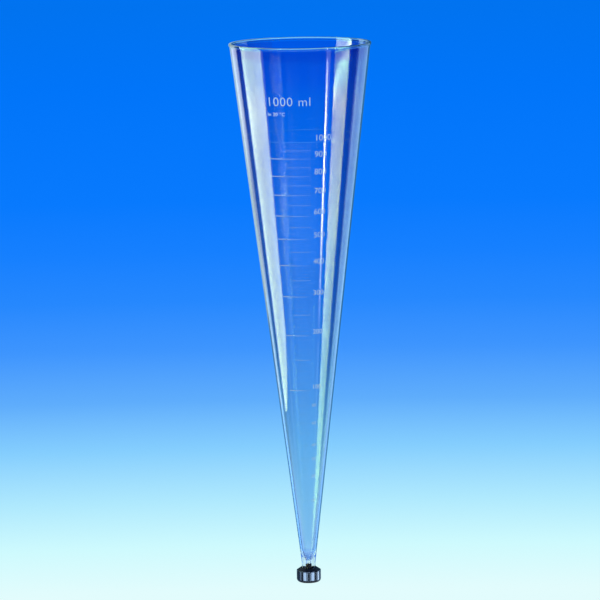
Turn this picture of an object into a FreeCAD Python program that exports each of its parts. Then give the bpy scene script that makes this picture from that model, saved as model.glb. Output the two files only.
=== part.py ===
import FreeCAD, Part
import os
import re
import Sketcher

# Imhoff settling cone of one litre with a screw cap at its tip.
# Lengths are in millimetres, angles in degrees, volumes in millilitres.
# The origin is the centre of the cap's underside, +Z runs up the axis to the mouth,
# and the graduated side faces -Y.

sizes = {
    # Outside of the clear cone
    "overall_height": 469.5,
    "mouth_radius": 60.3,
    "wall": 2.0,
    "bead_height": 2.4,
    "bead_reach": 0.7,
    "bead_bevel": 0.7,
    # Ring at the full volume and the raised marks below it; the marks start at an angle from -Y
    "full_volume": 1000.0,
    "scale_step": 100.0,
    "ring_width": 1.0,
    "ring_reach": 0.35,
    "mark_width": 0.6,
    "mark_reach": 0.25,
    "mark_start": -33.0,
    "mark_sweep": 43.0,
    # Thick tip with its funnel, bore and threaded neck
    "funnel_top": 28.0,
    "funnel_height": 9.0,
    "bore_radius": 1.65,
    "neck_radius": 5.3,
    "neck_chamfer": 0.5,
    "neck_length": 8.2,
    # Thread that the neck and the cap share
    "thread_pitch": 2.5,
    "thread_depth": 0.85,
    "thread_root_width": 1.2,
    "thread_crest_width": 0.6,
    "thread_clearance": 0.3,
    "thread_lead_in": 1.1,
    "thread_height": 5.6,
    # Screw cap
    "cap_height": 12.7,
    "cap_radius": 10.5,
    "cap_floor": 2.2,
    "cap_lip_width": 0.75,
    "cap_shoulder_height": 2.1,
    "cap_edge_bevel": 0.35,
    "cap_foot_round": 3.0,
    "flute_count": 10,
    "flute_radius": 1.7,
    "flute_depth": 0.55,
    "flute_collar": 0.9,
    # Plug with its sealing disc
    "disc_clearance": 0.35,
    "disc_thickness": 1.5,
    "disc_gap": 0.05,
    "stem_clearance": 0.15,
    "stem_length": 12.8,
    "stem_chamfer": 0.4,
}

doc = FreeCAD.newDocument("imhoff_cone")
sheet = doc.addObject("Spreadsheet::Sheet", "Sizes")
for row, (name, number) in enumerate(sizes.items(), start=1):
    sheet.set(f"A{row}", name)
    sheet.set(f"B{row}", str(number))
    sheet.setAlias(f"B{row}", name)
doc.recompute()


def bound(text):
    """Write each size's name in an expression the way the document reads it."""
    return re.sub(r"[a-z_]+", lambda word: "Sizes." + word[0] if word[0] in sizes else word[0], text)


def value(text):
    """Work out an expression of the sizes as a plain number."""
    return float(sheet.evalExpression(bound(text)))


# Heights and radii that several pieces share, as expressions of the sizes
disc_top = "(cap_floor + disc_thickness)"
neck_end = f"({disc_top} + disc_gap)"
neck_top = f"({neck_end} + neck_length)"
taper = f"((mouth_radius - neck_radius) / (overall_height - {neck_top}))"
wall_across = f"(wall * sqrt(1 + {taper}^2))"
inner_apex = f"({neck_top} - (neck_radius - {wall_across}) / {taper})"
funnel_bottom = "(funnel_top - funnel_height)"
stem_radius = "(bore_radius - stem_clearance)"
stem_top = f"({disc_top} + stem_length)"
thread_crest = "(neck_radius + thread_depth)"
thread_start = f"({neck_end} + thread_lead_in)"
cap_bore = f"({thread_crest} + thread_clearance)"
disc_radius = f"({cap_bore} - disc_clearance)"


def outer_wall(height):
    """Radius of the cone's outside at a height."""
    return f"(neck_radius + ({height} - {neck_top}) * {taper})"


def inner_wall(height):
    """Radius of the cone's inside at a height above the funnel."""
    return f"({outer_wall(height)} - {wall_across})"


def height_of_volume(volume):
    """Height at which the closed cone holds a volume: the cube root law of a cone,
    less what the funnel and the bore's free end hold below its straight wall."""
    whole_tip = f"(pi / 3 * {taper}^2 * (funnel_top - {inner_apex})^3)"
    wide = inner_wall("funnel_top")
    funnel = f"(pi / 3 * funnel_height * ({wide}^2 + {wide} * bore_radius + bore_radius^2))"
    bore = f"(pi * bore_radius^2 * ({funnel_bottom} - {stem_top}))"
    cubed = f"((1000 * {volume} + {whole_tip} - {funnel} - {bore}) * 3 / (pi * {taper}^2))"
    return f"({inner_apex} + cbrt({cubed}))"


def origin_plane(body, role):
    """Find one of a body's own origin planes."""
    return [plane for plane in body.Origin.OriginFeatures if plane.Role == role][0]


def new_sketch(body, name, role):
    """Add a sketch on one of the body's origin planes."""
    sketch = body.newObject("Sketcher::SketchObject", name)
    sketch.AttachmentSupport = [(origin_plane(body, role), "")]
    sketch.MapMode = "FlatFace"
    sketch.Visibility = False
    return sketch


def pin_point(sketch, geometry, end, across, up, label):
    """Hold a point of a sketch at a place given by two expressions."""
    for kind, text, axis in (("DistanceX", across, -2), ("DistanceY", up, -1)):
        if text == "0":
            sketch.addConstraint(Sketcher.Constraint("PointOnObject", geometry, end, axis))
            continue
        number = sketch.addConstraint(Sketcher.Constraint(kind, -1, 1, geometry, end, value(text)))
        sketch.renameConstraint(number, f"{kind}_{label}")
        sketch.setExpression(f"Constraints.{kind}_{label}", bound(text))


def draw_outline(sketch, corners, label=""):
    """Close a chain of straight lines through corners whose places are expressions of the sizes."""
    points = [FreeCAD.Vector(value(across), value(up), 0) for across, up in corners]
    lines = [sketch.addGeometry(Part.LineSegment(points[index - 1], points[index]), False)
             for index in range(len(points))]
    for index, (across, up) in enumerate(corners):
        sketch.addConstraint(Sketcher.Constraint("Coincident", lines[index - 1], 2, lines[index], 1))
        pin_point(sketch, lines[index], 2, across, up, f"{label}{index}")


def revolve(body, name, corners, start="0", sweep="360"):
    """Turn an outline about the upright axis, from a start angle through a sweep."""
    sketch = new_sketch(body, name + "_outline", "XZ_Plane")
    turn = FreeCAD.Rotation(FreeCAD.Vector(0, 1, 0), value(start))
    sketch.AttachmentOffset = FreeCAD.Placement(FreeCAD.Vector(0, 0, 0), turn)
    sketch.setExpression("AttachmentOffset.Rotation.Angle", bound(start))
    draw_outline(sketch, corners)
    turned = body.newObject("PartDesign::Revolution", name)
    turned.Profile = sketch
    turned.ReferenceAxis = (sketch, ["V_Axis"])
    turned.Angle = value(sweep)
    turned.setExpression("Angle", bound(sweep))
    turned.Refine = False
    return turned


def add_thread(body, name, root, crest, lowest):
    """Wind a ridge about the upright axis, right-handed, from a root radius to a crest radius."""
    sketch = new_sketch(body, name + "_section", "XZ_Plane")
    draw_outline(sketch, [
        (root, f"{lowest} - thread_root_width / 2"),
        (crest, f"{lowest} - thread_crest_width / 2"),
        (crest, f"{lowest} + thread_crest_width / 2"),
        (root, f"{lowest} + thread_root_width / 2"),
    ])
    ridge = body.newObject("PartDesign::AdditiveHelix", name)
    ridge.Profile = sketch
    ridge.Refine = False
    ridge.ReferenceAxis = (sketch, ["V_Axis"])
    ridge.Mode = 0
    ridge.Pitch = value("thread_pitch")
    ridge.Height = value("thread_height")
    ridge.setExpression("Pitch", bound("thread_pitch"))
    ridge.setExpression("Height", bound("thread_height"))
    ridge.LeftHanded = False
    ridge.Reversed = False


# Clear cone: one turned wall from the neck's end up to the rim bead and down the inside again,
# with a ring where it holds its full volume. The side that carries the scale has the same outline
# with a raised mark at each whole step of volume, and both turn about one axis into one wall.
cone = doc.addObject("PartDesign::Body", "cone")
cone.Label = "cone"
full_height = height_of_volume("full_volume")
ring_crest = f"({outer_wall(full_height)} + ring_reach)"
ring_low = f"({full_height} - ring_width / 2)"
ring_high = f"({full_height} + ring_width / 2)"
bead_low = "(overall_height - bead_height)"
bead_shoulder = "(overall_height - bead_bevel)"
rim_outside = f"({outer_wall(bead_low)} + bead_reach)"
below_scale = [
    ("bore_radius", neck_end),
    ("neck_radius - neck_chamfer", neck_end),
    ("neck_radius", f"{neck_end} + neck_chamfer"),
    ("neck_radius", neck_top),
]
above_scale = [
    (outer_wall(ring_low), ring_low),
    (ring_crest, f"{full_height} - ring_width / 4"),
    (ring_crest, f"{full_height} + ring_width / 4"),
    (outer_wall(ring_high), ring_high),
    (outer_wall(bead_low), bead_low),
    (rim_outside, f"{bead_low} + bead_reach"),
    (rim_outside, bead_shoulder),
    (f"{rim_outside} - bead_bevel", "overall_height"),
    (f"{inner_wall('overall_height')} + bead_bevel", "overall_height"),
    (inner_wall(bead_shoulder), bead_shoulder),
    (inner_wall("funnel_top"), "funnel_top"),
    ("bore_radius", funnel_bottom),
]
marks = []
for step in range(1, round(value("full_volume / scale_step"))):
    middle = height_of_volume(f"({step} * scale_step)")
    crest = f"({outer_wall(middle)} + mark_reach)"
    low = f"({middle} - mark_width / 2)"
    high = f"({middle} + mark_width / 2)"
    marks += [(outer_wall(low), low), (crest, low), (crest, high), (outer_wall(high), high)]
scale_start = "(270 + mark_start)"
scale_end = f"({scale_start} + mark_sweep)"
revolve(cone, "plain_wall", below_scale + above_scale, scale_end, "(360 - mark_sweep)")
doc.recompute()
revolve(cone, "graduated_wall", below_scale + marks + above_scale, scale_start, "mark_sweep")
doc.recompute()
add_thread(cone, "neck_thread", "neck_radius - thread_clearance", thread_crest, thread_start)
doc.recompute()

# Screw cap: floor, skirt and shoulder in one turned wall, an inside thread and flutes for the fingers
cap = doc.addObject("PartDesign::Body", "screw_cap")
cap.Label = "screw_cap"
shoulder = "(cap_height - cap_shoulder_height)"
foot_angles = (0, 30, 60, 90)
foot = [(f"cap_radius - cap_foot_round * (1 - sin({angle}))", f"cap_foot_round * (1 - cos({angle}))")
        for angle in foot_angles[1:]]
revolve(cap, "turned_wall", [
    ("0", "0"),
    ("cap_radius - cap_foot_round", "0"),
    *foot,
    ("cap_radius", f"{shoulder} - cap_edge_bevel"),
    ("cap_radius - cap_edge_bevel", shoulder),
    (f"{cap_bore} + cap_lip_width", "cap_height"),
    (cap_bore, "cap_height"),
    (cap_bore, "cap_floor"),
    ("0", "cap_floor"),
])
doc.recompute()
cap_thread_start = f"({thread_start} + thread_pitch / 2)"
cap_thread_crest = "(neck_radius + thread_clearance)"
add_thread(cap, "cap_thread", f"{cap_bore} + thread_clearance", cap_thread_crest, cap_thread_start)
doc.recompute()

flute_centre = "(cap_radius + flute_radius - flute_depth)"
flute_top = f"({shoulder} - flute_collar)"
flute = new_sketch(cap, "flute_circle", "XY_Plane")
flute_middle = FreeCAD.Vector(0, -value(flute_centre), 0)
circle = Part.Circle(flute_middle, FreeCAD.Vector(0, 0, 1), value("flute_radius"))
flute.addGeometry(circle, False)
pin_point(flute, 0, 3, "0", f"-1 * {flute_centre}", "centre")
flute_size = flute.addConstraint(Sketcher.Constraint("Radius", 0, value("flute_radius")))
flute.renameConstraint(flute_size, "flute_size")
flute.setExpression("Constraints.flute_size", bound("flute_radius"))
groove = cap.newObject("PartDesign::Pocket", "flute")
groove.Profile = flute
groove.Reversed = True
groove.Length = value(flute_top)
groove.setExpression("Length", bound(flute_top))
doc.recompute()
flutes = cap.newObject("PartDesign::PolarPattern", "flutes")
flutes.Originals = [groove]
flutes.Axis = (flute, ["N_Axis"])
flutes.Angle = 360
flutes.Occurrences = int(value("flute_count"))
flutes.setExpression("Occurrences", bound("flute_count"))
cap.Tip = flutes
doc.recompute()

# Plug: a disc that the neck's end presses on the cap's floor, and a stem that fills the drain bore
plug = doc.addObject("PartDesign::Body", "plug_seal")
plug.Label = "plug_seal"
revolve(plug, "disc_and_stem", [
    ("0", "cap_floor"),
    (disc_radius, "cap_floor"),
    (disc_radius, disc_top),
    (stem_radius, disc_top),
    (stem_radius, f"{stem_top} - stem_chamfer"),
    (f"{stem_radius} - stem_chamfer", stem_top),
    ("0", stem_top),
])
doc.recompute()

# Every feature has to be sound before anything is written
for item in doc.Objects:
    if "Invalid" in item.State or "Error" in item.State:
        raise RuntimeError(f"{item.Name} failed: {item.State}")
os.makedirs("parts", exist_ok=True)
for body in (cone, cap, plug):
    if body.Shape.isNull() or not body.Shape.isValid():
        raise RuntimeError(f"{body.Label} has no sound shape")
    print(body.Label, len(body.Shape.Solids), "solid,", round(body.Shape.Volume, 1), "cubic mm")
    body.Shape.exportStep(f"parts/{body.Label}.step")
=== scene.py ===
import math
from functools import partial

import bmesh
import bpy
from mathutils import Matrix, Vector


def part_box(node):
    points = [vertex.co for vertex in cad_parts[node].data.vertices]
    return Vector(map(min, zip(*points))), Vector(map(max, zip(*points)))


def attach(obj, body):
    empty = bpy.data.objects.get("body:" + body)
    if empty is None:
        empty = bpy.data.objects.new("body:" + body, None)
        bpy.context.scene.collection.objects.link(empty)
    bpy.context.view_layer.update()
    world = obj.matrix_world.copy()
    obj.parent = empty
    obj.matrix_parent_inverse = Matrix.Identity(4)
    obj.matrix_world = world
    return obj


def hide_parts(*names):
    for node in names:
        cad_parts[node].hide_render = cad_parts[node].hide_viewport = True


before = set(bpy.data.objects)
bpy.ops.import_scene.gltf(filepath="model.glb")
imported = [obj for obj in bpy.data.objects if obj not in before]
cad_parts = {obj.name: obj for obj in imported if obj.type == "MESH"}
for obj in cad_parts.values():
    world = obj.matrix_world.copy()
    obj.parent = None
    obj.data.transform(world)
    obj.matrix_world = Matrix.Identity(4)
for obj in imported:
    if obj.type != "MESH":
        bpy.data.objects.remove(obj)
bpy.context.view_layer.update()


# Clear cone
# The settling cone is one injection-moulded wall of clear styrene plastic, open at the rim.
# Its bead stiffens the mouth, a fine ring marks the full litre, and at the tip the wall closes
# to a thick nose with a drain bore, a small funnel above it and a thread outside for the cap.
cone_low, cone_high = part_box("cone")
neck_end = cone_low.z
rim_height = cone_high.z
rim_radius = cone_high.x
bead_height = 0.0024
bead_reach = 0.0007
neck_radius = 0.0053
neck_top = neck_end + 0.0082
neck_chamfer = 0.0005
collar_radius = 0.00592
collar_slope = 0.12
collar_top = neck_top + (collar_radius - neck_radius) / collar_slope
collar_blend = 0.0004
wall = 0.0020
bore_radius = 0.00165
funnel_top = 0.028
funnel_bottom = 0.019
taper = (rim_radius - bead_reach - neck_radius) / (rim_height - bead_height - neck_top)
wall_across = wall * math.sqrt(1 + taper ** 2)
inner_apex = neck_top - (neck_radius - wall_across) / taper
thread_depth = 0.00085
thread_pitch = 0.0025
thread_root_width = 0.0012
thread_crest_width = 0.0006
thread_start = neck_end + 0.0011
thread_height = 0.0056
stem_top = 0.0165
full_volume = 1000
ring_width = 0.0012
ring_reach = 0.00005
cone_sides = 288


def outer_wall(height):
    """Radius of the cone's outside at a height."""
    return neck_radius + (height - neck_top) * taper


def inner_wall(height):
    """Radius of the cone's inside at a height above the funnel."""
    return outer_wall(height) - wall_across


def spare_volume():
    """Millilitres by which the straight inside, drawn down to its point, holds more than the
    real tip with its funnel and the bore's free end."""
    point = math.pi / 3 * taper ** 2 * (funnel_top - inner_apex) ** 3
    wide = inner_wall(funnel_top)
    funnel = (math.pi / 3 * (funnel_top - funnel_bottom)
              * (wide ** 2 + wide * bore_radius + bore_radius ** 2))
    bore = math.pi * bore_radius ** 2 * (funnel_bottom - stem_top)
    return (point - funnel - bore) * 1e6


cubic_rise = (3e-6 / (math.pi * taper ** 2)) ** (1 / 3)


def height_of_volume(volume):
    """Height at which the cone holds so many millilitres: a cone's volume grows with its cube."""
    return inner_apex + cubic_rise * (volume + spare_volume()) ** (1 / 3)


def arc(centre, radius, start, end, steps):
    """Points of a round corner of an outline, from one angle in degrees to another."""
    turned = []
    for step in range(steps + 1):
        angle = math.radians(start + (end - start) * step / steps)
        turned.append((centre[0] + radius * math.cos(angle), centre[1] + radius * math.sin(angle)))
    return turned


def straight(radius_at, low, high, spacing):
    """Points of an outline along a wall, with a close row at each end so that it shades flat."""
    margin = math.copysign(0.0002, high - low)
    count = max(1, round(abs(high - low) / spacing))
    rows = [low + (high - low) * step / count for step in range(1, count)]
    heights = [low, low + margin, *rows, high - margin, high]
    return [(radius_at(height), height) for height in heights]


def turned_mesh(name, outline, sides, closed):
    """Turn an outline of (radius, height) points about the upright axis into a mesh.
    An open outline starts and ends on the axis, where its pole is one point."""
    mesh = bmesh.new()
    rows = []
    for radius, height in outline:
        if radius < 1e-7:
            rows.append([mesh.verts.new((0, 0, height))])
            continue
        row = []
        for side in range(sides):
            angle = 2 * math.pi * side / sides
            row.append(mesh.verts.new((radius * math.sin(angle), -radius * math.cos(angle), height)))
        rows.append(row)
    pairs = list(zip(rows, rows[1:]))
    if closed:
        pairs.append((rows[-1], rows[0]))
    for low, high in pairs:
        for side in range(sides):
            after = (side + 1) % sides
            corners = [low[side % len(low)], low[after % len(low)],
                       high[after % len(high)], high[side % len(high)]]
            mesh.faces.new(list(dict.fromkeys(corners)))
    bmesh.ops.recalc_face_normals(mesh, faces=mesh.faces)
    data = bpy.data.meshes.new(name)
    mesh.to_mesh(data)
    mesh.free()
    data.shade_smooth()
    return data


def add_piece(name, data, material, body):
    """Put a finished mesh in the scene, on the body that carries it."""
    piece = bpy.data.objects.new(name, data)
    bpy.context.scene.collection.objects.link(piece)
    data.materials.clear()
    data.materials.append(material)
    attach(piece, body)
    return piece


def new_material(name):
    """A material with its node tree and its surface shader."""
    material = bpy.data.materials.new(name)
    material.use_nodes = True
    return material, material.node_tree, material.node_tree.nodes["Principled BSDF"]


def thread_swell(height, angle):
    """How far the thread stands out from the neck at a height and an angle round it."""
    along = (height - thread_start) / thread_pitch - angle / (2 * math.pi)
    turn = min(max(round(along), 0), thread_height / thread_pitch)
    offset = abs(along - turn) * thread_pitch
    flank = (thread_root_width / 2 - offset) / ((thread_root_width - thread_crest_width) / 2)
    return thread_depth * min(max(flank, 0), 1)


def cone_outline():
    """The wall's section, up the outside from the neck's end and down the inside to the bore."""
    full = height_of_volume(full_volume)
    bead_low = rim_height - bead_height
    fine = 0.00016
    neck_rows = int((neck_top - neck_end - 2 * neck_chamfer) / fine)
    neck = [(neck_radius, neck_end + neck_chamfer + fine * row) for row in range(neck_rows)]
    ring = []
    for step in range(-6, 7):
        height = full + ring_width * step / 12
        swell = ring_reach * math.cos(math.pi * (height - full) / ring_width) ** 2
        ring.append((outer_wall(height) + swell, height))
    round_height = rim_height - bead_reach
    bead = [
        *arc((rim_radius - bead_reach, bead_low + bead_reach), bead_reach, -60, 0, 6),
        *arc((rim_radius - bead_reach, round_height), bead_reach, 0, 90, 10),
        *arc((inner_wall(rim_height) + bead_reach, round_height), bead_reach, 90, 180, 10),
    ]
    inner_rim = round_height - 0.0002
    return [
        (bore_radius, neck_end),
        (neck_radius - neck_chamfer, neck_end),
        *neck,
        (neck_radius, neck_top),
        (collar_radius, neck_top + collar_blend),
        (collar_radius, neck_top + 1.5 * collar_blend),
        (collar_radius, collar_top - collar_blend),
        *straight(outer_wall, collar_top, full - ring_width / 2, 0.01)[:-1],
        *ring[:-1],
        *straight(outer_wall, full + ring_width / 2, bead_low, 0.01),
        *bead,
        *straight(inner_wall, inner_rim, funnel_top, 0.01),
        *straight(lambda height: bore_radius, funnel_bottom, neck_end + 0.0002, 0.003),
    ]


def feed(tree, socket, item):
    """Link a socket to another node's output, or write a plain value in it."""
    if isinstance(item, bpy.types.NodeSocket):
        tree.links.new(item, socket)
    else:
        socket.default_value = item


def calc_in(tree, operation, *values):
    """The result of a sum on outputs of nodes or plain numbers."""
    node = tree.nodes.new("ShaderNodeMath")
    node.operation = operation
    for socket, item in zip(node.inputs, values):
        feed(tree, socket, item)
    return node.outputs[0]


def fade_in(tree, value, start, end, low=0.0, high=1.0):
    """A number that goes from low to high while a value goes from start to end."""
    node = tree.nodes.new("ShaderNodeMapRange")
    given = {"Value": value, "From Min": start, "From Max": end, "To Min": low, "To Max": high}
    for key, item in given.items():
        feed(tree, node.inputs[key], item)
    return node.outputs["Result"]


def tint_in(tree, value, stops):
    """A colour that runs through stops of (value, colour)."""
    first, last = stops[0][0], stops[-1][0]
    ramp = tree.nodes.new("ShaderNodeValToRGB")
    ramp.color_ramp.elements[0].color = (*stops[0][1], 1)
    ramp.color_ramp.elements[1].color = (*stops[-1][1], 1)
    for start, colour in stops[1:-1]:
        stop = ramp.color_ramp.elements.new((start - first) / (last - first))
        stop.color = (*colour, 1)
    tree.links.new(fade_in(tree, value, first, last), ramp.inputs["Fac"])
    return ramp.outputs["Color"]


def shade_in(tree, amount, colour, shade):
    """A colour with a shade multiplied over it by some amount."""
    node = tree.nodes.new("ShaderNodeMix")
    node.data_type = "RGBA"
    node.blend_type = "MULTIPLY"
    for key, item in (("Factor", amount), (6, colour), (7, shade)):
        feed(tree, node.inputs[key], item)
    return node.outputs[2]


def vector_in(tree, operation, first, second=None):
    """The node of a sum on vectors."""
    node = tree.nodes.new("ShaderNodeVectorMath")
    node.operation = operation
    feed(tree, node.inputs[0], first)
    if second is not None:
        feed(tree, node.inputs[1], second)
    return node


def away_from_axis(tree, place):
    """A place's way out from the upright axis, as a vector and as a length."""
    outward = vector_in(tree, "MULTIPLY", place, (1, 1, 0)).outputs["Vector"]
    return outward, vector_in(tree, "LENGTH", outward).outputs["Value"]


def moulded_skin():
    """A node group for the skin of moulded plastic: soft flow waves that run up the wall, fine
    handling marks and a roughness that changes from place to place."""
    group = bpy.data.node_groups.new("moulded_skin", "ShaderNodeTree")
    face = group.interface
    face.new_socket("Roughness", in_out="OUTPUT", socket_type="NodeSocketFloat")
    face.new_socket("Normal", in_out="OUTPUT", socket_type="NodeSocketVector")
    usual = {"Base roughness": 0.1, "Wear": 0.1, "Wave depth": 0.00002, "Waves": 30.0,
             "Grain scale": 900.0}
    for name, number in usual.items():
        socket = face.new_socket(name, in_out="INPUT", socket_type="NodeSocketFloat")
        socket.default_value = number
    given = group.nodes.new("NodeGroupInput").outputs
    out = group.nodes.new("NodeGroupOutput")
    place = group.nodes.new("ShaderNodeTexCoord")
    parts = group.nodes.new("ShaderNodeSeparateXYZ")
    group.links.new(place.outputs["Object"], parts.inputs[0])
    calc = partial(calc_in, group)
    turn = calc("ARCTAN2", parts.outputs["X"], calc("MULTIPLY", parts.outputs["Y"], -1))
    wrapped = group.nodes.new("ShaderNodeCombineXYZ")
    group.links.new(calc("SINE", turn), wrapped.inputs["X"])
    group.links.new(calc("COSINE", turn), wrapped.inputs["Y"])
    group.links.new(calc("MULTIPLY", parts.outputs["Z"], 0.9), wrapped.inputs["Z"])
    waves = group.nodes.new("ShaderNodeTexNoise")
    waves.inputs["Detail"].default_value = 2.0
    group.links.new(given["Waves"], waves.inputs["Scale"])
    group.links.new(wrapped.outputs["Vector"], waves.inputs["Vector"])
    grain = group.nodes.new("ShaderNodeTexNoise")
    grain.inputs["Detail"].default_value = 4.0
    group.links.new(given["Grain scale"], grain.inputs["Scale"])
    group.links.new(place.outputs["Object"], grain.inputs["Vector"])
    bump = group.nodes.new("ShaderNodeBump")
    group.links.new(waves.outputs["Fac"], bump.inputs["Height"])
    group.links.new(given["Wave depth"], bump.inputs["Distance"])
    worn = calc("MAXIMUM", calc("SUBTRACT", grain.outputs["Fac"], 0.5), 0)
    roughness = calc("ADD", given["Base roughness"], calc("MULTIPLY", worn, given["Wear"]))
    group.links.new(roughness, out.inputs["Roughness"])
    group.links.new(bump.outputs["Normal"], out.inputs["Normal"])
    return group


def add_skin(tree, shader, **values):
    """Give a surface shader the moulded skin, with the values that this plastic has."""
    skin = tree.nodes.new("ShaderNodeGroup")
    skin.node_tree = skin_group
    for key, item in values.items():
        feed(tree, skin.inputs[key.replace("_", " ").capitalize()], item)
    tree.links.new(skin.outputs["Roughness"], shader.inputs["Roughness"])
    tree.links.new(skin.outputs["Normal"], shader.inputs["Normal"])


skin_group = moulded_skin()
clear_plastic, tree, shader = new_material("clear_plastic_moulded")
shader.inputs["Transmission Weight"].default_value = 1.0
shader.inputs["IOR"].default_value = 1.567
# Only part of this colour is the plastic's own blue tint. The rest is painted shade and light, which
# darkens the wall toward the rim and leaves the thick tip almost clear.
height_tint_and_shade = (
    # height, colour that one wall lets through, painted shade and light included
    (0.018, (0.95, 0.98, 1.00)),
    (0.028, (0.60, 0.78, 1.00)),
    (0.130, (0.70, 0.88, 0.99)),
    (0.200, (0.80, 0.96, 0.99)),
    (0.320, (0.90, 0.97, 0.98)),
    (0.420, (0.86, 0.86, 0.96)),
    (0.440, (0.62, 0.74, 0.95)),
    (0.456, (0.58, 0.72, 0.92)),
    (0.461, (0.52, 0.55, 0.87)),
    (0.4664, (0.50, 0.54, 0.86)),
    (0.4673, (0.50, 0.88, 1.00)),
)
edge_tint_and_shade = (
    # how far the wall turns away from the view, colour it still lets through, painted shade included
    (0.00, (1.00, 1.00, 1.00)),
    (0.13, (0.89, 0.91, 0.97)),
    (0.24, (0.74, 0.75, 0.84)),
    (0.38, (0.42, 0.48, 0.62)),
    (1.00, (0.38, 0.46, 0.62)),
)
deep_shade = (0.20, 0.42, 0.88, 1)
outline_shade = (0.42, 0.55, 0.72, 1)
funnel_haze = 0.30
place = tree.nodes.new("ShaderNodeTexCoord")
upward = tree.nodes.new("ShaderNodeSeparateXYZ")
sloped = tree.nodes.new("ShaderNodeSeparateXYZ")
turned = tree.nodes.new("ShaderNodeLayerWeight")
turned.inputs["Blend"].default_value = 0.5
tree.links.new(place.outputs["Object"], upward.inputs[0])
tree.links.new(place.outputs["Normal"], sloped.inputs[0])
upright = upward.outputs["Z"]
aside = turned.outputs["Facing"]
outward, across = away_from_axis(tree, place.outputs["Object"])

# Painted shade: the rim's inner round and the funnel over the bore get a deeper blue, where much
# plastic lies behind.
facing_out = vector_in(tree, "DOT_PRODUCT", outward, place.outputs["Normal"]).outputs["Value"]
inward = calc_in(tree, "LESS_THAN", facing_out, -0.0001)
sunken = calc_in(tree, "MULTIPLY", fade_in(tree, sloped.outputs["Z"], 0.18, 0.32), inward)
over_bore = fade_in(tree, upright, funnel_bottom - 0.0002, funnel_bottom + 0.0010)
under_wall = fade_in(tree, upright, funnel_top + 0.0003, funnel_top - 0.0060)
narrow = calc_in(tree, "LESS_THAN", across, inner_wall(funnel_top) + 0.0001)
in_funnel = calc_in(tree, "MULTIPLY", calc_in(tree, "MULTIPLY", over_bore, under_wall), narrow)
deep_shade_mask = calc_in(tree, "MAXIMUM", sunken, in_funnel)
colour = shade_in(tree, deep_shade_mask, tint_in(tree, upright, height_tint_and_shade), deep_shade)

# Toward its edges the wall is crossed aslant, and the darker colour there is partly that longer path
# through the plastic and partly painted shade. Low down, only a fine outline of painted shade shows
# this.
edge_share = fade_in(tree, upright, 0.06, 0.20, low=0.20, high=1.0)
colour = shade_in(tree, edge_share, colour, tint_in(tree, aside, edge_tint_and_shade))
fine_edge = fade_in(tree, aside, 0.60, 0.82)
low_down = fade_in(tree, upright, 0.14, 0.05)
low_edge = calc_in(tree, "MULTIPLY", fine_edge, low_down)
tree.links.new(shade_in(tree, low_edge, colour, outline_shade), shader.inputs["Base Color"])

# The thick tip is a little hazy, and the funnel's own surface is the roughest.
tip_haze = fade_in(tree, upright, 0.021, 0.028, low=0.09, high=0.02)
haze = calc_in(tree, "MULTIPLY_ADD", in_funnel, funnel_haze, tip_haze)
add_skin(tree, shader, base_roughness=haze, wear=0.05, wave_depth=0.00003, waves=5.0)

cone_mesh = turned_mesh("clear_cone", cone_outline(), cone_sides, closed=True)
for vertex in cone_mesh.vertices:
    radius = math.hypot(vertex.co.x, vertex.co.y)
    if abs(radius - neck_radius) < 1e-6 and vertex.co.z < neck_top - neck_chamfer:
        angle = math.atan2(vertex.co.x, -vertex.co.y) % (2 * math.pi)
        swell = thread_swell(vertex.co.z, angle)
        vertex.co.x *= 1 + swell / radius
        vertex.co.y *= 1 + swell / radius
clear_cone = add_piece("clear_cone", cone_mesh, clear_plastic, "cone")
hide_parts("cone")


# Raised scale
# The lines of the scale are moulded on the outside of the wall as low frosted ribs. They stand
# at the heights where the cone holds whole steps of volume, so they crowd together towards
# the mouth. Every hundred is a long line, every fifty a shorter one, with fine ones between.
strip_segments = 24
mark_inset = 0.00004
mark_reach = 0.00025


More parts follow.
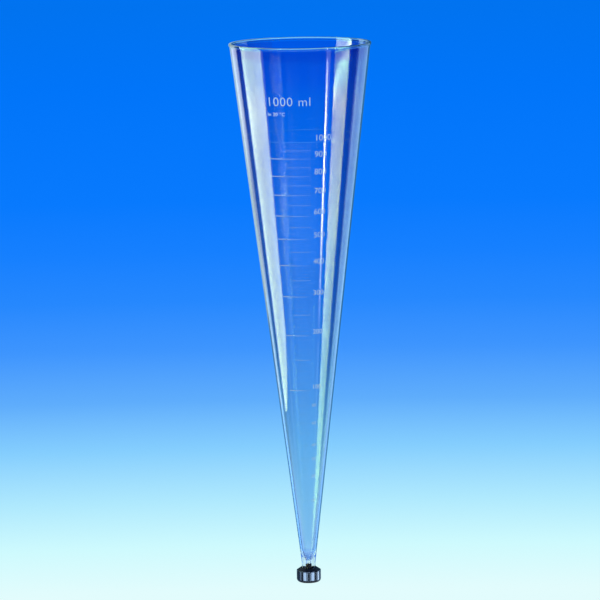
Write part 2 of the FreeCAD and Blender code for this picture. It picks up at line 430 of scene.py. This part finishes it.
def marks_tree():
    """Geometry nodes that bend one straight strip into each mark of a row of volumes."""
    tree = bpy.data.node_groups.new("scale_marks", "GeometryNodeTree")
    face = tree.interface
    face.new_socket("Geometry", in_out="OUTPUT", socket_type="NodeSocketGeometry")
    for name in ("Marks", "Segments"):
        face.new_socket(name, in_out="INPUT", socket_type="NodeSocketInt")
    numbers = ("First volume", "Volume step", "Skipped step", "Start angle", "End angle",
               "Mark height", "Mark reach", "Mark inset", "Start frost", "End frost",
               "Apex height", "Cubic rise", "Spare volume", "Neck radius", "Neck top", "Taper")
    for name in numbers:
        face.new_socket(name, in_out="INPUT", socket_type="NodeSocketFloat")
    face.new_socket("Material", in_out="INPUT", socket_type="NodeSocketMaterial")
    given = tree.nodes.new("NodeGroupInput").outputs
    out = tree.nodes.new("NodeGroupOutput")
    calc = partial(calc_in, tree)

    points = tree.nodes.new("GeometryNodeMeshLine")
    points.inputs["Offset"].default_value = (0, 0, 0)
    tree.links.new(given["Marks"], points.inputs["Count"])
    index = tree.nodes.new("GeometryNodeInputIndex").outputs[0]
    volume = calc("ADD", given["First volume"], calc("MULTIPLY", index, given["Volume step"]))
    keep_volume = tree.nodes.new("GeometryNodeStoreNamedAttribute")
    keep_volume.data_type = "FLOAT"
    keep_volume.domain = "POINT"
    keep_volume.inputs["Name"].default_value = "volume"
    tree.links.new(points.outputs["Mesh"], keep_volume.inputs["Geometry"])
    tree.links.new(volume, keep_volume.inputs["Value"])
    rest = calc("PINGPONG", calc("FLOORED_MODULO", volume, given["Skipped step"]),
                calc("DIVIDE", given["Skipped step"], 2))
    skipped = tree.nodes.new("GeometryNodeDeleteGeometry")
    skipped.domain = "POINT"
    tree.links.new(keep_volume.outputs["Geometry"], skipped.inputs["Geometry"])
    tree.links.new(calc("LESS_THAN", rest, 0.01), skipped.inputs["Selection"])

    strip = tree.nodes.new("GeometryNodeMeshCube")
    strip.inputs["Size"].default_value = (1, 1, 1)
    strip.inputs["Vertices Y"].default_value = 2
    strip.inputs["Vertices Z"].default_value = 2
    tree.links.new(calc("ADD", given["Segments"], 1), strip.inputs["Vertices X"])
    spread = tree.nodes.new("GeometryNodeInstanceOnPoints")
    tree.links.new(skipped.outputs["Geometry"], spread.inputs["Points"])
    tree.links.new(strip.outputs["Mesh"], spread.inputs["Instance"])
    real = tree.nodes.new("GeometryNodeRealizeInstances")
    tree.links.new(spread.outputs["Instances"], real.inputs["Geometry"])

    read_volume = tree.nodes.new("GeometryNodeInputNamedAttribute")
    read_volume.data_type = "FLOAT"
    read_volume.inputs["Name"].default_value = "volume"
    place = tree.nodes.new("ShaderNodeSeparateXYZ")
    tree.links.new(tree.nodes.new("GeometryNodeInputPosition").outputs[0], place.inputs[0])
    held = calc("ADD", read_volume.outputs["Attribute"], given["Spare volume"])
    middle = calc("ADD", given["Apex height"],
                  calc("MULTIPLY", given["Cubic rise"], calc("POWER", held, 1 / 3)))
    height = calc("ADD", middle, calc("MULTIPLY", place.outputs["Z"], given["Mark height"]))
    wall_radius = calc("ADD", given["Neck radius"],
                       calc("MULTIPLY", calc("SUBTRACT", height, given["Neck top"]), given["Taper"]))
    depth = calc("ADD", given["Mark reach"], given["Mark inset"])
    stand = calc("MULTIPLY", calc("SUBTRACT", 0.5, place.outputs["Y"]), depth)
    radius = calc("ADD", wall_radius, calc("SUBTRACT", stand, given["Mark inset"]))
    along = calc("ADD", place.outputs["X"], 0.5)
    span = calc("SUBTRACT", given["End angle"], given["Start angle"])
    angle = calc("ADD", given["Start angle"], calc("MULTIPLY", along, span))
    forward = calc("MULTIPLY", radius, calc("COSINE", angle))
    bent = tree.nodes.new("ShaderNodeCombineXYZ")
    tree.links.new(calc("MULTIPLY", radius, calc("SINE", angle)), bent.inputs["X"])
    tree.links.new(calc("MULTIPLY", forward, -1), bent.inputs["Y"])
    tree.links.new(height, bent.inputs["Z"])
    keep_frost = tree.nodes.new("GeometryNodeStoreNamedAttribute")
    keep_frost.data_type = "FLOAT"
    keep_frost.domain = "POINT"
    keep_frost.inputs["Name"].default_value = "frost"
    tree.links.new(real.outputs["Geometry"], keep_frost.inputs["Geometry"])
    start_share = calc("MULTIPLY", given["Start frost"], calc("SUBTRACT", 1, along))
    end_share = calc("MULTIPLY", given["End frost"], along)
    tree.links.new(calc("ADD", start_share, end_share), keep_frost.inputs["Value"])
    move = tree.nodes.new("GeometryNodeSetPosition")
    tree.links.new(keep_frost.outputs["Geometry"], move.inputs["Geometry"])
    tree.links.new(bent.outputs["Vector"], move.inputs["Position"])
    finish = tree.nodes.new("GeometryNodeSetMaterial")
    tree.links.new(move.outputs["Geometry"], finish.inputs["Geometry"])
    tree.links.new(given["Material"], finish.inputs["Material"])
    tree.links.new(finish.outputs["Geometry"], out.inputs["Geometry"])
    return tree


def plain_mesh(name, data, tree=None, values=()):
    """The finished shape of a curve, or of what a node tree makes of the given values, as a
    plain mesh."""
    carrier = bpy.data.objects.new(name, data)
    bpy.context.scene.collection.objects.link(carrier)
    if tree:
        modifier = carrier.modifiers.new(name, "NODES")
        modifier.node_group = tree
        for item in tree.interface.items_tree:
            if item.name in values:
                modifier[item.identifier] = values[item.name]
    graph = bpy.context.evaluated_depsgraph_get()
    result = bpy.data.meshes.new_from_object(carrier.evaluated_get(graph))
    bpy.data.objects.remove(carrier)
    return result


def joined_mesh(name, meshes):
    """Several meshes as one."""
    together = bmesh.new()
    for part in meshes:
        together.from_mesh(part)
    data = bpy.data.meshes.new(name)
    together.to_mesh(data)
    together.free()
    return data


raised_frost, tree, shader = new_material("raised_frost")
shader.inputs["Base Color"].default_value = (0.66, 0.90, 1.0, 1)
add_skin(tree, shader, base_roughness=0.38, wear=0.3)
frost = tree.nodes.new("ShaderNodeAttribute")
frost.attribute_name = "frost"
tree.links.new(frost.outputs["Fac"], shader.inputs["Alpha"])

mark_rows = (
    # first, last, step, skipped step, start angle, end angle, line height, frost at each end.
    # A mark whose volume is a whole number of skipped steps is left out.
    (100, 900, 100, 5000, -33, 10, 0.00060, 0.40, 0.03),
    (150, 950, 100, 5000, -16, 9, 0.00050, 0.20, 0.12),
    (110, 990, 10, 50, -16, 9, 0.00032, 0.07, 0.05),
    (20, 90, 10, 5000, -16, 9, 0.00036, 0.10, 0.07),
    (42, 98, 2, 10, -10, 6, 0.00026, 0.04, 0.04),
    (11, 39, 1, 10, -10, 6, 0.00026, 0.04, 0.04),
    (10, 10, 10, 5000, -16, 9, 0.00036, 0.10, 0.07),
)
scale_marks = marks_tree()
mark_meshes = []
for first, last, step, skipped, start, end, line, start_frost, end_frost in mark_rows:
    mark_meshes.append(plain_mesh("marks", bpy.data.meshes.new("marks"), scale_marks, {
        "Marks": (last - first) // step + 1,
        "Segments": strip_segments,
        "First volume": float(first),
        "Volume step": float(step),
        "Skipped step": float(skipped),
        "Start angle": math.radians(start),
        "End angle": math.radians(end),
        "Mark height": line,
        "Mark reach": mark_reach,
        "Mark inset": mark_inset,
        "Start frost": start_frost,
        "End frost": end_frost,
        "Apex height": inner_apex,
        "Cubic rise": cubic_rise,
        "Spare volume": spare_volume(),
        "Neck radius": neck_radius,
        "Neck top": neck_top,
        "Taper": taper,
        "Material": raised_frost,
    }))
line_mesh = joined_mesh("scale_lines", mark_meshes)
add_piece("scale_lines", line_mesh, raised_frost, "cone")


# Numerals
# The figures stand beside their lines, moulded on the wall in the same way as the lines.
# The capacity in large figures and the reference temperature stand above the ring.
figure_reach = 0.0003
figure_thinning = 0.008
left_margin = -31.5
right_column = 12.5
least_size = 0.0036
size_by_radius = 0.075
hundred_lift = 0.0015
fine_size = 0.0038
fine_drop = 0.0010


def wrapped_text(words, size, start_angle, height, frosting, spacing=1.0):
    """A line of raised figures that starts at an angle and follows the round wall."""
    curve = bpy.data.curves.new("figures", "FONT")
    curve.body = words
    curve.size = size
    curve.space_character = spacing
    curve.offset = -figure_thinning * size
    curve.extrude = figure_reach
    data = plain_mesh("figures", curve)
    frosted = data.attributes.new("frost", "FLOAT", "POINT")
    frosted.data.foreach_set("value", [frosting] * len(data.vertices))
    around = outer_wall(height)
    for vertex in data.vertices:
        across, up, out = vertex.co
        turn = math.radians(start_angle) + across / around
        level = height + up
        radius = outer_wall(level) + (out + figure_reach) / 2 - mark_inset
        vertex.co = (radius * math.sin(turn), -radius * math.cos(turn), level)
    return data


figure_meshes = []
for hundred in range(100, 1001, 100):
    line = height_of_volume(hundred)
    size = least_size + size_by_radius * outer_wall(line)
    foot = line + hundred_lift
    figure_meshes.append(wrapped_text(str(hundred), size, right_column, foot, frosting=0.5))
for fine in (80, 60, 40, 30, 20, 10):
    foot = height_of_volume(fine) - fine_drop
    figure_meshes.append(wrapped_text(str(fine), fine_size, right_column, foot, frosting=0.3))
left_lines = (
    # words, size, height of their foot, frosting
    ("1000 ml", 0.0108, 0.4205, 0.48),
    ("In 20 °C", 0.0042, 0.4120, 0.70),
)
for words, size, foot, frosting in left_lines:
    figure_meshes.append(wrapped_text(words, size, left_margin, foot, frosting, spacing=1.1))
figure_mesh = joined_mesh("numerals", figure_meshes)
add_piece("numerals", figure_mesh, raised_frost, "cone")


# Plug seal
# A seal moulded in black rubbery plastic closes the drain. Its disc lies in the cap, pressed
# against the neck's end, and its stem fills the bore.
seal_low, seal_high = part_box("plug_seal")
disc_radius = seal_high.x
disc_top = neck_end - 0.00005
stem_radius = bore_radius + 0.00001
seal_edge = 0.0003
seal_sides = 96

seal_outline = [
    (0, seal_low.z),
    *arc((disc_radius - seal_edge, seal_low.z + seal_edge), seal_edge, -90, 0, 5),
    *arc((disc_radius - seal_edge, disc_top - seal_edge), seal_edge, 0, 90, 5),
    *straight(lambda height: stem_radius, disc_top, seal_high.z - seal_edge, 0.003),
    *arc((stem_radius - seal_edge, seal_high.z - seal_edge), seal_edge, 0, 90, 5),
    (0, seal_high.z),
]
black_seal, tree, shader = new_material("black_seal_rubber")
shader.inputs["Base Color"].default_value = (0.016, 0.017, 0.019, 1)
add_skin(tree, shader, base_roughness=0.48, wear=0.4, wave_depth=0.00001, grain_scale=1400.0)
plug_mesh = turned_mesh("plug", seal_outline, seal_sides, closed=False)
plug = add_piece("plug", plug_mesh, black_seal, "seal")
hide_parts("plug_seal")


# Screw cap
# A small closed cap of glossy black plastic, fluted for the fingers, is screwed on the tip.
# It is moulded in one with its inside thread, a short conical shoulder and a rounded foot.
cap_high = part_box("screw_cap")[1]
cap_radius = cap_high.x
cap_top = cap_high.z
cap_floor = 0.0022
cap_bore = neck_radius + thread_depth + 0.0003
lip_width = 0.00075
shoulder_height = 0.0021
foot_round = 0.0030
edge_round = 0.0004
flute_pitch = 2 * math.pi / 10
flute_radius = 0.0017
flute_depth = 0.00055
flute_centre = cap_radius + flute_radius - flute_depth
shoulder = cap_top - shoulder_height
flute_top = shoulder - 0.0009
cap_sides = 320

cap_outline = [
    (0, 0),
    (cap_radius - foot_round, 0),
    *arc((cap_radius - foot_round, foot_round), foot_round, -86, 0, 14),
    *straight(lambda height: cap_radius, foot_round + 0.0002, flute_top - 0.0002, 0.0005),
    *straight(lambda height: cap_radius, flute_top, shoulder - edge_round - 0.0001, 0.0004),
    *arc((cap_radius - edge_round, shoulder - edge_round), edge_round, 0, 60, 5),
    (cap_bore + lip_width + 0.0001, cap_top - 0.00015),
    (cap_bore + lip_width - 0.0001, cap_top),
    (cap_bore + 0.0001, cap_top),
    (cap_bore, cap_top - 0.0001),
    *straight(lambda height: cap_bore, cap_top - 0.0003, cap_floor + 0.0002, 0.00016),
    (cap_bore, cap_floor),
    (0, cap_floor),
]
polish_and_shade_start = cap_radius - 0.00030
polish_and_shade_end = cap_radius - 0.00005
black_plastic, tree, shader = new_material("black_plastic_glossy")
shader.inputs["Base Color"].default_value = (0.0020, 0.0028, 0.0045, 1)
shader.inputs["Specular Tint"].default_value = (0.72, 0.84, 1.0, 1)
place = tree.nodes.new("ShaderNodeTexCoord")
across = away_from_axis(tree, place.outputs["Object"])[1]
dullness = fade_in(tree, across, polish_and_shade_start, polish_and_shade_end, low=0.42, high=0.12)
add_skin(tree, shader, base_roughness=dullness, wear=0.25, wave_depth=0.00001, waves=3.0)
# Painted shade: the flutes, the shoulder and the foot reflect much less than the lands, so they read
# darker, as shaded recesses do.
gloss_with_painted_shade = fade_in(tree, across, polish_and_shade_start, polish_and_shade_end, low=0.10, high=0.6)
tree.links.new(gloss_with_painted_shade, shader.inputs["Specular IOR Level"])
cap_mesh = turned_mesh("cap", cap_outline, cap_sides, closed=False)
for vertex in cap_mesh.vertices:
    radius = math.hypot(vertex.co.x, vertex.co.y)
    angle = math.atan2(vertex.co.x, -vertex.co.y) % (2 * math.pi)
    if radius > cap_bore + lip_width and vertex.co.z < flute_top + 0.0005:
        off = abs((angle + flute_pitch / 2) % flute_pitch - flute_pitch / 2)
        sideways = flute_centre * math.sin(off)
        hollow = math.sqrt(max(flute_radius ** 2 - sideways ** 2, 0))
        reach = flute_centre * math.cos(off) - hollow
        in_flute = sideways < flute_radius and vertex.co.z < flute_top + 1e-6
        if in_flute and reach < radius:
            vertex.co.x *= reach / radius
            vertex.co.y *= reach / radius
    elif abs(radius - cap_bore) < 1e-6 and cap_floor + 0.0003 < vertex.co.z < cap_top - 0.0002:
        swell = thread_swell(vertex.co.z - thread_pitch / 2, angle)
        vertex.co.x *= 1 - swell / radius
        vertex.co.y *= 1 - swell / radius
cap = add_piece("cap", cap_mesh, black_plastic, "cap")
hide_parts("screw_cap")


# Floor
# A plain board, painted matt in a pale grey, lies well below the tip, because the cone hangs in
# its rack by the taper. Toward its edge it melts into the background.
floor_height = -0.35
floor_radius = 1.2
floor_sides = 96
floor_mesh = bmesh.new()
bmesh.ops.create_circle(floor_mesh, cap_ends=True, segments=floor_sides, radius=floor_radius,
                        matrix=Matrix.Translation((0, 0, floor_height)))
floor_data = bpy.data.meshes.new("floor")
floor_mesh.to_mesh(floor_data)
floor_mesh.free()
floor = bpy.data.objects.new("floor", floor_data)
bpy.context.scene.collection.objects.link(floor)
floor_paint, tree, shader = new_material("floor_paint")
shader.inputs["Base Color"].default_value = (0.74, 0.78, 0.80, 1)
shader.inputs["Roughness"].default_value = 0.9
place = tree.nodes.new("ShaderNodeTexCoord")
across = away_from_axis(tree, place.outputs["Object"])[1]
melted = fade_in(tree, across, floor_radius * 0.45, floor_radius * 0.97, low=1.0, high=0.0)
melted.node.interpolation_type = "SMOOTHSTEP"
tree.links.new(melted, shader.inputs["Alpha"])
floor_data.materials.append(floor_paint)


# Studio air
# The background is a smooth sweep from a deep sky blue above to almost white below. Gloss and
# clear plastic see it as the camera does, and matt surfaces get plain pale light from all round.
def paint(*channels):
    """A colour given from 0 to 255 a channel, as light."""
    shares = [channel / 255 for channel in channels]
    return [((s + 0.055) / 1.055) ** 2.4 if s > 0.04045 else s / 12.92 for s in shares]


sweep = (
    # upward part of the view's direction, colour
    (-0.420, (190, 214, 226)),
    (-0.300, (222, 244, 248)),
    (-0.231, (226, 252, 253)),
    (-0.219, (206, 250, 254)),
    (-0.207, (175, 233, 254)),
    (-0.193, (133, 206, 254)),
    (-0.180, (95, 173, 252)),
    (-0.166, (62, 149, 254)),
    (-0.153, (38, 136, 254)),
    (-0.140, (22, 128, 255)),
    (-0.126, (8, 122, 254)),
    (-0.095, (1, 117, 249)),
    (-0.073, (1, 115, 240)),
)
world = bpy.data.worlds.new("studio_air")
bpy.context.scene.world = world
world.use_nodes = True
tree = world.node_tree
tree.nodes.clear()
direction = tree.nodes.new("ShaderNodeTexCoord")
upward = tree.nodes.new("ShaderNodeSeparateXYZ")
tree.links.new(direction.outputs["Generated"], upward.inputs[0])
seen = tree.nodes.new("ShaderNodeBackground")
sky = tint_in(tree, upward.outputs["Z"], [(level, paint(*colour)) for level, colour in sweep])
tree.links.new(sky, seen.inputs["Color"])
lit = tree.nodes.new("ShaderNodeBackground")
lit.inputs["Color"].default_value = (0.93, 0.97, 1.0, 1)
lit.inputs["Strength"].default_value = 0.6
path = tree.nodes.new("ShaderNodeLightPath").outputs
direct = calc_in(tree, "MAXIMUM", path["Is Camera Ray"], path["Is Glossy Ray"])
choose = tree.nodes.new("ShaderNodeMixShader")
output = tree.nodes.new("ShaderNodeOutputWorld")
tree.links.new(calc_in(tree, "MAXIMUM", direct, path["Is Transmission Ray"]), choose.inputs["Fac"])
tree.links.new(lit.outputs[0], choose.inputs[1])
tree.links.new(seen.outputs[0], choose.inputs[2])
tree.links.new(choose.outputs[0], output.inputs["Surface"])


# Light panels
# Tall soft boxes stand round the cone. They draw the long pale bands on its wall, and dark cards
# between them keep the rest of the wall clear of glare. They show in reflections alone, apart
# from a small pale card close behind the tip: it glows as painted light that brightens the tip
# and shows through the plastic alone.
def glow_paint(name, colour, seen_through, inside):
    """Light that only a reflection shows, or only what is seen through the plastic, as strong
    as the panel's own glow value says. Its second colour is for reflections inside the cone."""
    material = bpy.data.materials.new(name)
    material.use_nodes = True
    tree = material.node_tree
    tree.nodes.clear()
    path = tree.nodes.new("ShaderNodeLightPath").outputs
    within = calc_in(tree, "GREATER_THAN", path["Transmission Depth"], 0.5)
    shown = within if seen_through else calc_in(tree, "GREATER_THAN", path["Glossy Depth"], 0.5)
    strength = tree.nodes.new("ShaderNodeAttribute")
    strength.attribute_name = "glow"
    hue = tree.nodes.new("ShaderNodeMix")
    hue.data_type = "RGBA"
    hue.inputs[6].default_value = (*colour, 1)
    hue.inputs[7].default_value = (*(inside or colour), 1)
    light = tree.nodes.new("ShaderNodeEmission")
    clear = tree.nodes.new("ShaderNodeBsdfTransparent")
    choose = tree.nodes.new("ShaderNodeMixShader")
    output = tree.nodes.new("ShaderNodeOutputMaterial")
    tree.links.new(within, hue.inputs["Factor"])
    tree.links.new(hue.outputs[2], light.inputs["Color"])
    tree.links.new(strength.outputs["Fac"], light.inputs["Strength"])
    tree.links.new(shown, choose.inputs["Fac"])
    tree.links.new(clear.outputs[0], choose.inputs[1])
    tree.links.new(light.outputs[0], choose.inputs[2])
    tree.links.new(choose.outputs[0], output.inputs["Surface"])
    return material


def panel(name, columns, colour=(1, 1, 1), seen_through=False, inside=None):
    """An upright panel through columns of (x, y, rising list of (height, glow))."""
    verts, glow, faces = [], [], []
    rows = len(columns[0][2])
    for x, y, levels in columns:
        for height, strength in levels:
            verts.append((x, y, height))
            glow.append(strength)
    for column in range(len(columns) - 1):
        for row in range(rows - 1):
            corner = column * rows + row
            faces.append((corner, corner + rows, corner + rows + 1, corner + 1))
    data = bpy.data.meshes.new(name)
    data.from_pydata(verts, [], faces)
    values = data.attributes.new("glow", "FLOAT", "POINT")
    values.data.foreach_set("value", glow)
    data.materials.append(glow_paint(name, colour, seen_through, inside))
    board = bpy.data.objects.new(name, data)
    bpy.context.scene.collection.objects.link(board)
    board.visible_camera = False
    board.visible_diffuse = False
    board.visible_shadow = False


def around(angle, distance):
    """A place on the floor plan at an angle from the camera's side, positive to the right."""
    turn = math.radians(angle)
    return distance * math.sin(turn), -distance * math.cos(turn)


def scaled(levels, gain):
    """The same levels with the glow stronger or weaker."""
    return [(height, strength * gain) for height, strength in levels]


card_distance = 0.8
stripe_distance = 0.79
strip_distance = 1.6
rear_distance = 0.38
tip_distance = 0.034
dark = ((-0.36, 0.02), (0.75, 0.02))
left_near = (-0.700, -0.285)
left_far = (-0.290, 0.087)
rear_near = (-0.455, 0.329)
left_gains = (
    # share of the way from the near edge to the far one, gain
    (0.00, 1.20),
    (0.07, 1.15),
    (0.15, 0.97),
    (0.40, 1.02),
    (0.60, 0.95),
    (0.85, 1.00),
    (0.93, 1.25),
    (1.00, 1.30),
)

# The wall narrows downward and bends the panel's reflection. So its plain part sinks toward the
# near edge, and its bright top climbs there, which keeps both level in the band that is seen.
left_columns = []
for share, gain in left_gains:
    x = left_near[0] + (left_far[0] - left_near[0]) * share
    y = left_near[1] + (left_far[1] - left_near[1]) * share
    drop = 0.137 * (1 - share)
    rise = 0.053 - 0.025 * share
    ease = 0.62 + 0.68 * share
    levels = (
        (0.056 - 0.8 * drop, 5.2),
        (0.300 - drop, 4.7),
        (0.345 - drop, 6.0),
        (0.378 + rise, 5.0),
        (0.395 + rise, 4.8 * ease),
        (0.420 + rise, 6.0 * ease),
        (0.432 + rise, 9.0 * ease),
        (0.443 + rise, 15.0),
        (0.453 + rise, 20.0),
        (0.462 + rise, 14.0),
        (0.470 + rise, 5.0),
        (0.750, 5.0),
    )
    left_columns.append((x, y, scaled(levels, gain)))
panel("left_panel", left_columns, (0.49, 0.70, 0.73), inside=(1.62, 1.60, 0.36))
panel("left_skirt", [
    (*left_near, ((-0.36, 0.8), (-0.054, 0.4))),
    (*left_far, ((-0.36, 0.8), (0.056, 0.4))),
], (0.45, 0.80, 1.80))
panel("left_gap_card", [(*left_far, dark), (*rear_near, dark)])
left_rear_levels = ((0.17, 1.1), (0.20, 0.95), (0.24, 0.78), (0.28, 0.85), (0.31, 1.25), (0.36, 1.6),
                    (0.70, 1.6))
for name, levels, colour in (
        ("left_rear_panel", left_rear_levels, (1.0, 1.12, 1.12)),
        ("left_rear_middle", ((0.06, 1.1), (0.17, 1.1)), (0.80, 1.15, 1.45)),
        ("left_rear_foot", ((-0.30, 1.1), (0.06, 1.1)), (0.52, 1.02, 1.65))):
    panel(name, [
        (*rear_near, scaled(levels, 0.85)),
        (*around(-132, rear_distance), levels),
        (*around(-146, rear_distance), scaled(levels, 0.92)),
    ], colour)
panel("left_edge_panel", [
    (*around(-146, rear_distance), ((0.16, 0.6), (0.22, 0.9), (0.70, 1.1))),
    (*around(-176, rear_distance), ((0.16, 0.4), (0.22, 0.6), (0.70, 0.7))),
], (0.62, 0.96, 1.10))
panel("left_edge_foot", [
    (*around(-146, rear_distance), ((-0.30, 0.45), (0.16, 0.5))),
    (*around(-176, rear_distance), ((-0.30, 0.35), (0.16, 0.4))),
], (0.20, 0.64, 1.15))
panel("right_gap_card", [(*around(angle, card_distance), dark) for angle in (51, 70, 90, 108, 119)])
right_near_levels = ((-0.30, 0.9), (0.05, 0.95), (0.12, 1.2), (0.17, 1.2), (0.28, 1.0), (0.70, 0.95))
right_far_levels = ((-0.30, 0.8), (0.05, 0.85), (0.12, 1.0), (0.17, 1.0), (0.28, 0.9), (0.70, 0.85))
panel("right_rear_panel", [
    (*around(109, rear_distance), right_near_levels),
    (*around(146, rear_distance), right_far_levels),
], (0.50, 0.95, 1.50))
panel("right_edge_panel", [
    (*around(146, rear_distance), ((-0.30, 0.5), (0.70, 0.45))),
    (*around(176, rear_distance), ((-0.30, 0.4), (0.70, 0.25))),
], (0.12, 0.58, 1.15))
strip_levels = ((-0.42, 0.0), (-0.36, 2.0), (-0.31, 5.0), (-0.26, 15.0), (-0.20, 17.0), (-0.13, 24.0),
                (-0.10, 13.0), (-0.03, 4.0))
panel("right_strip", [
    (*around(angle, strip_distance), strip_levels) for angle in (45.5, 48.3)
], (1.05, 1.02, 0.85))
# Painted light: this card glows behind the thick tip and is seen only through the plastic.
panel("tip_glow_card", [
    (*around(angle, tip_distance), ((0.006, 1.0), (0.0205, 1.0))) for angle in range(130, 231, 20)
], (0.62, 0.91, 0.99), seen_through=True)
panel("left_stripe", [
    (*around(angle, stripe_distance), ((-0.12, 0.0), (-0.04, 0.20), (0.30, 0.30)))
    for angle in (-37.5, -31.5)
], (0.30, 1.0, 0.85))
front_levels = ((-0.36, 0.25), (-0.08, 0.24), (0.03, 0.17), (0.13, 0.01), (0.35, 0.0))
panel("front_card", [
    (*around(angle, card_distance), front_levels) for angle in (-64, -45, -30, -15, 0, 15, 30, 44)
], (0.85, 0.95, 1.0))


# Lamps
# Two large soft lamps give the cap, the raised figures and the floor plain pale light. Five
# small ones stand low round the tip and light only the black cap and the plug.
def lamp(name, place, aim, size, power):
    """A square soft lamp that looks at a point and that reflections leave out."""
    light = bpy.data.lights.new(name, "AREA")
    light.size = size
    light.energy = power
    holder = bpy.data.objects.new(name, light)
    back = (Vector(place) - Vector(aim)).normalized()
    turn = back.to_track_quat("Z", "Y").to_matrix().to_4x4()
    holder.matrix_world = Matrix.Translation(place) @ turn
    holder.visible_camera = False
    holder.visible_glossy = False
    holder.visible_transmission = False
    bpy.context.scene.collection.objects.link(holder)
    return holder


cone_middle = (0, 0, 0.2)
cap_middle = (0, 0, 0.006)
low_distance = 0.5
low_height = -0.11
low_size = 0.26
low_lamps = (
    # name, angle from the camera's side, power
    ("front_cap_lamp", 0, 2.2),
    ("left_cap_lamp", -38, 3.4),
    ("right_cap_lamp", 38, 3.6),
    ("left_side_lamp", -108, 3.4),
    ("right_side_lamp", 108, 3.4),
)
lamp("key_lamp", (-1.3, -1.2, 1.5), cone_middle, size=1.0, power=30)
lamp("fill_lamp", (1.5, -0.6, 1.0), cone_middle, size=1.0, power=12)
black_parts = bpy.data.collections.new("black_parts")
bpy.context.scene.collection.children.link(black_parts)
black_parts.objects.link(cap)
black_parts.objects.link(plug)
for name, angle, power in low_lamps:
    low_lamp = lamp(name, (*around(angle, low_distance), low_height), cap_middle, low_size, power)
    low_lamp.data.color = (0.62, 0.80, 1.0)
    # The gloss on the black parts is the reflection of these lamps.
    low_lamp.visible_glossy = True
    low_lamp.light_linking.receiver_collection = black_parts


# Camera
# A long lens on a stand in front of the cone looks slightly down on it, so that the picture
# holds its whole height from the rim to the cap.
eye = (0, -3.091, 0.727)
look_down = math.radians(8.813)
look_aside = math.radians(0.067)
tilt = math.radians(-0.982)
lens = 218.2
camera_data = bpy.data.cameras.new("camera")
camera_data.lens = lens
camera_data.sensor_width = 36
camera = bpy.data.objects.new("camera", camera_data)
camera.matrix_world = (Matrix.Translation(eye)
                       @ Matrix.Rotation(look_aside, 4, "Z")
                       @ Matrix.Rotation(math.pi / 2 - look_down, 4, "X")
                       @ Matrix.Rotation(tilt, 4, "Z"))
bpy.context.scene.collection.objects.link(camera)
bpy.context.scene.camera = camera
bpy.context.scene.view_settings.view_transform = "Standard"
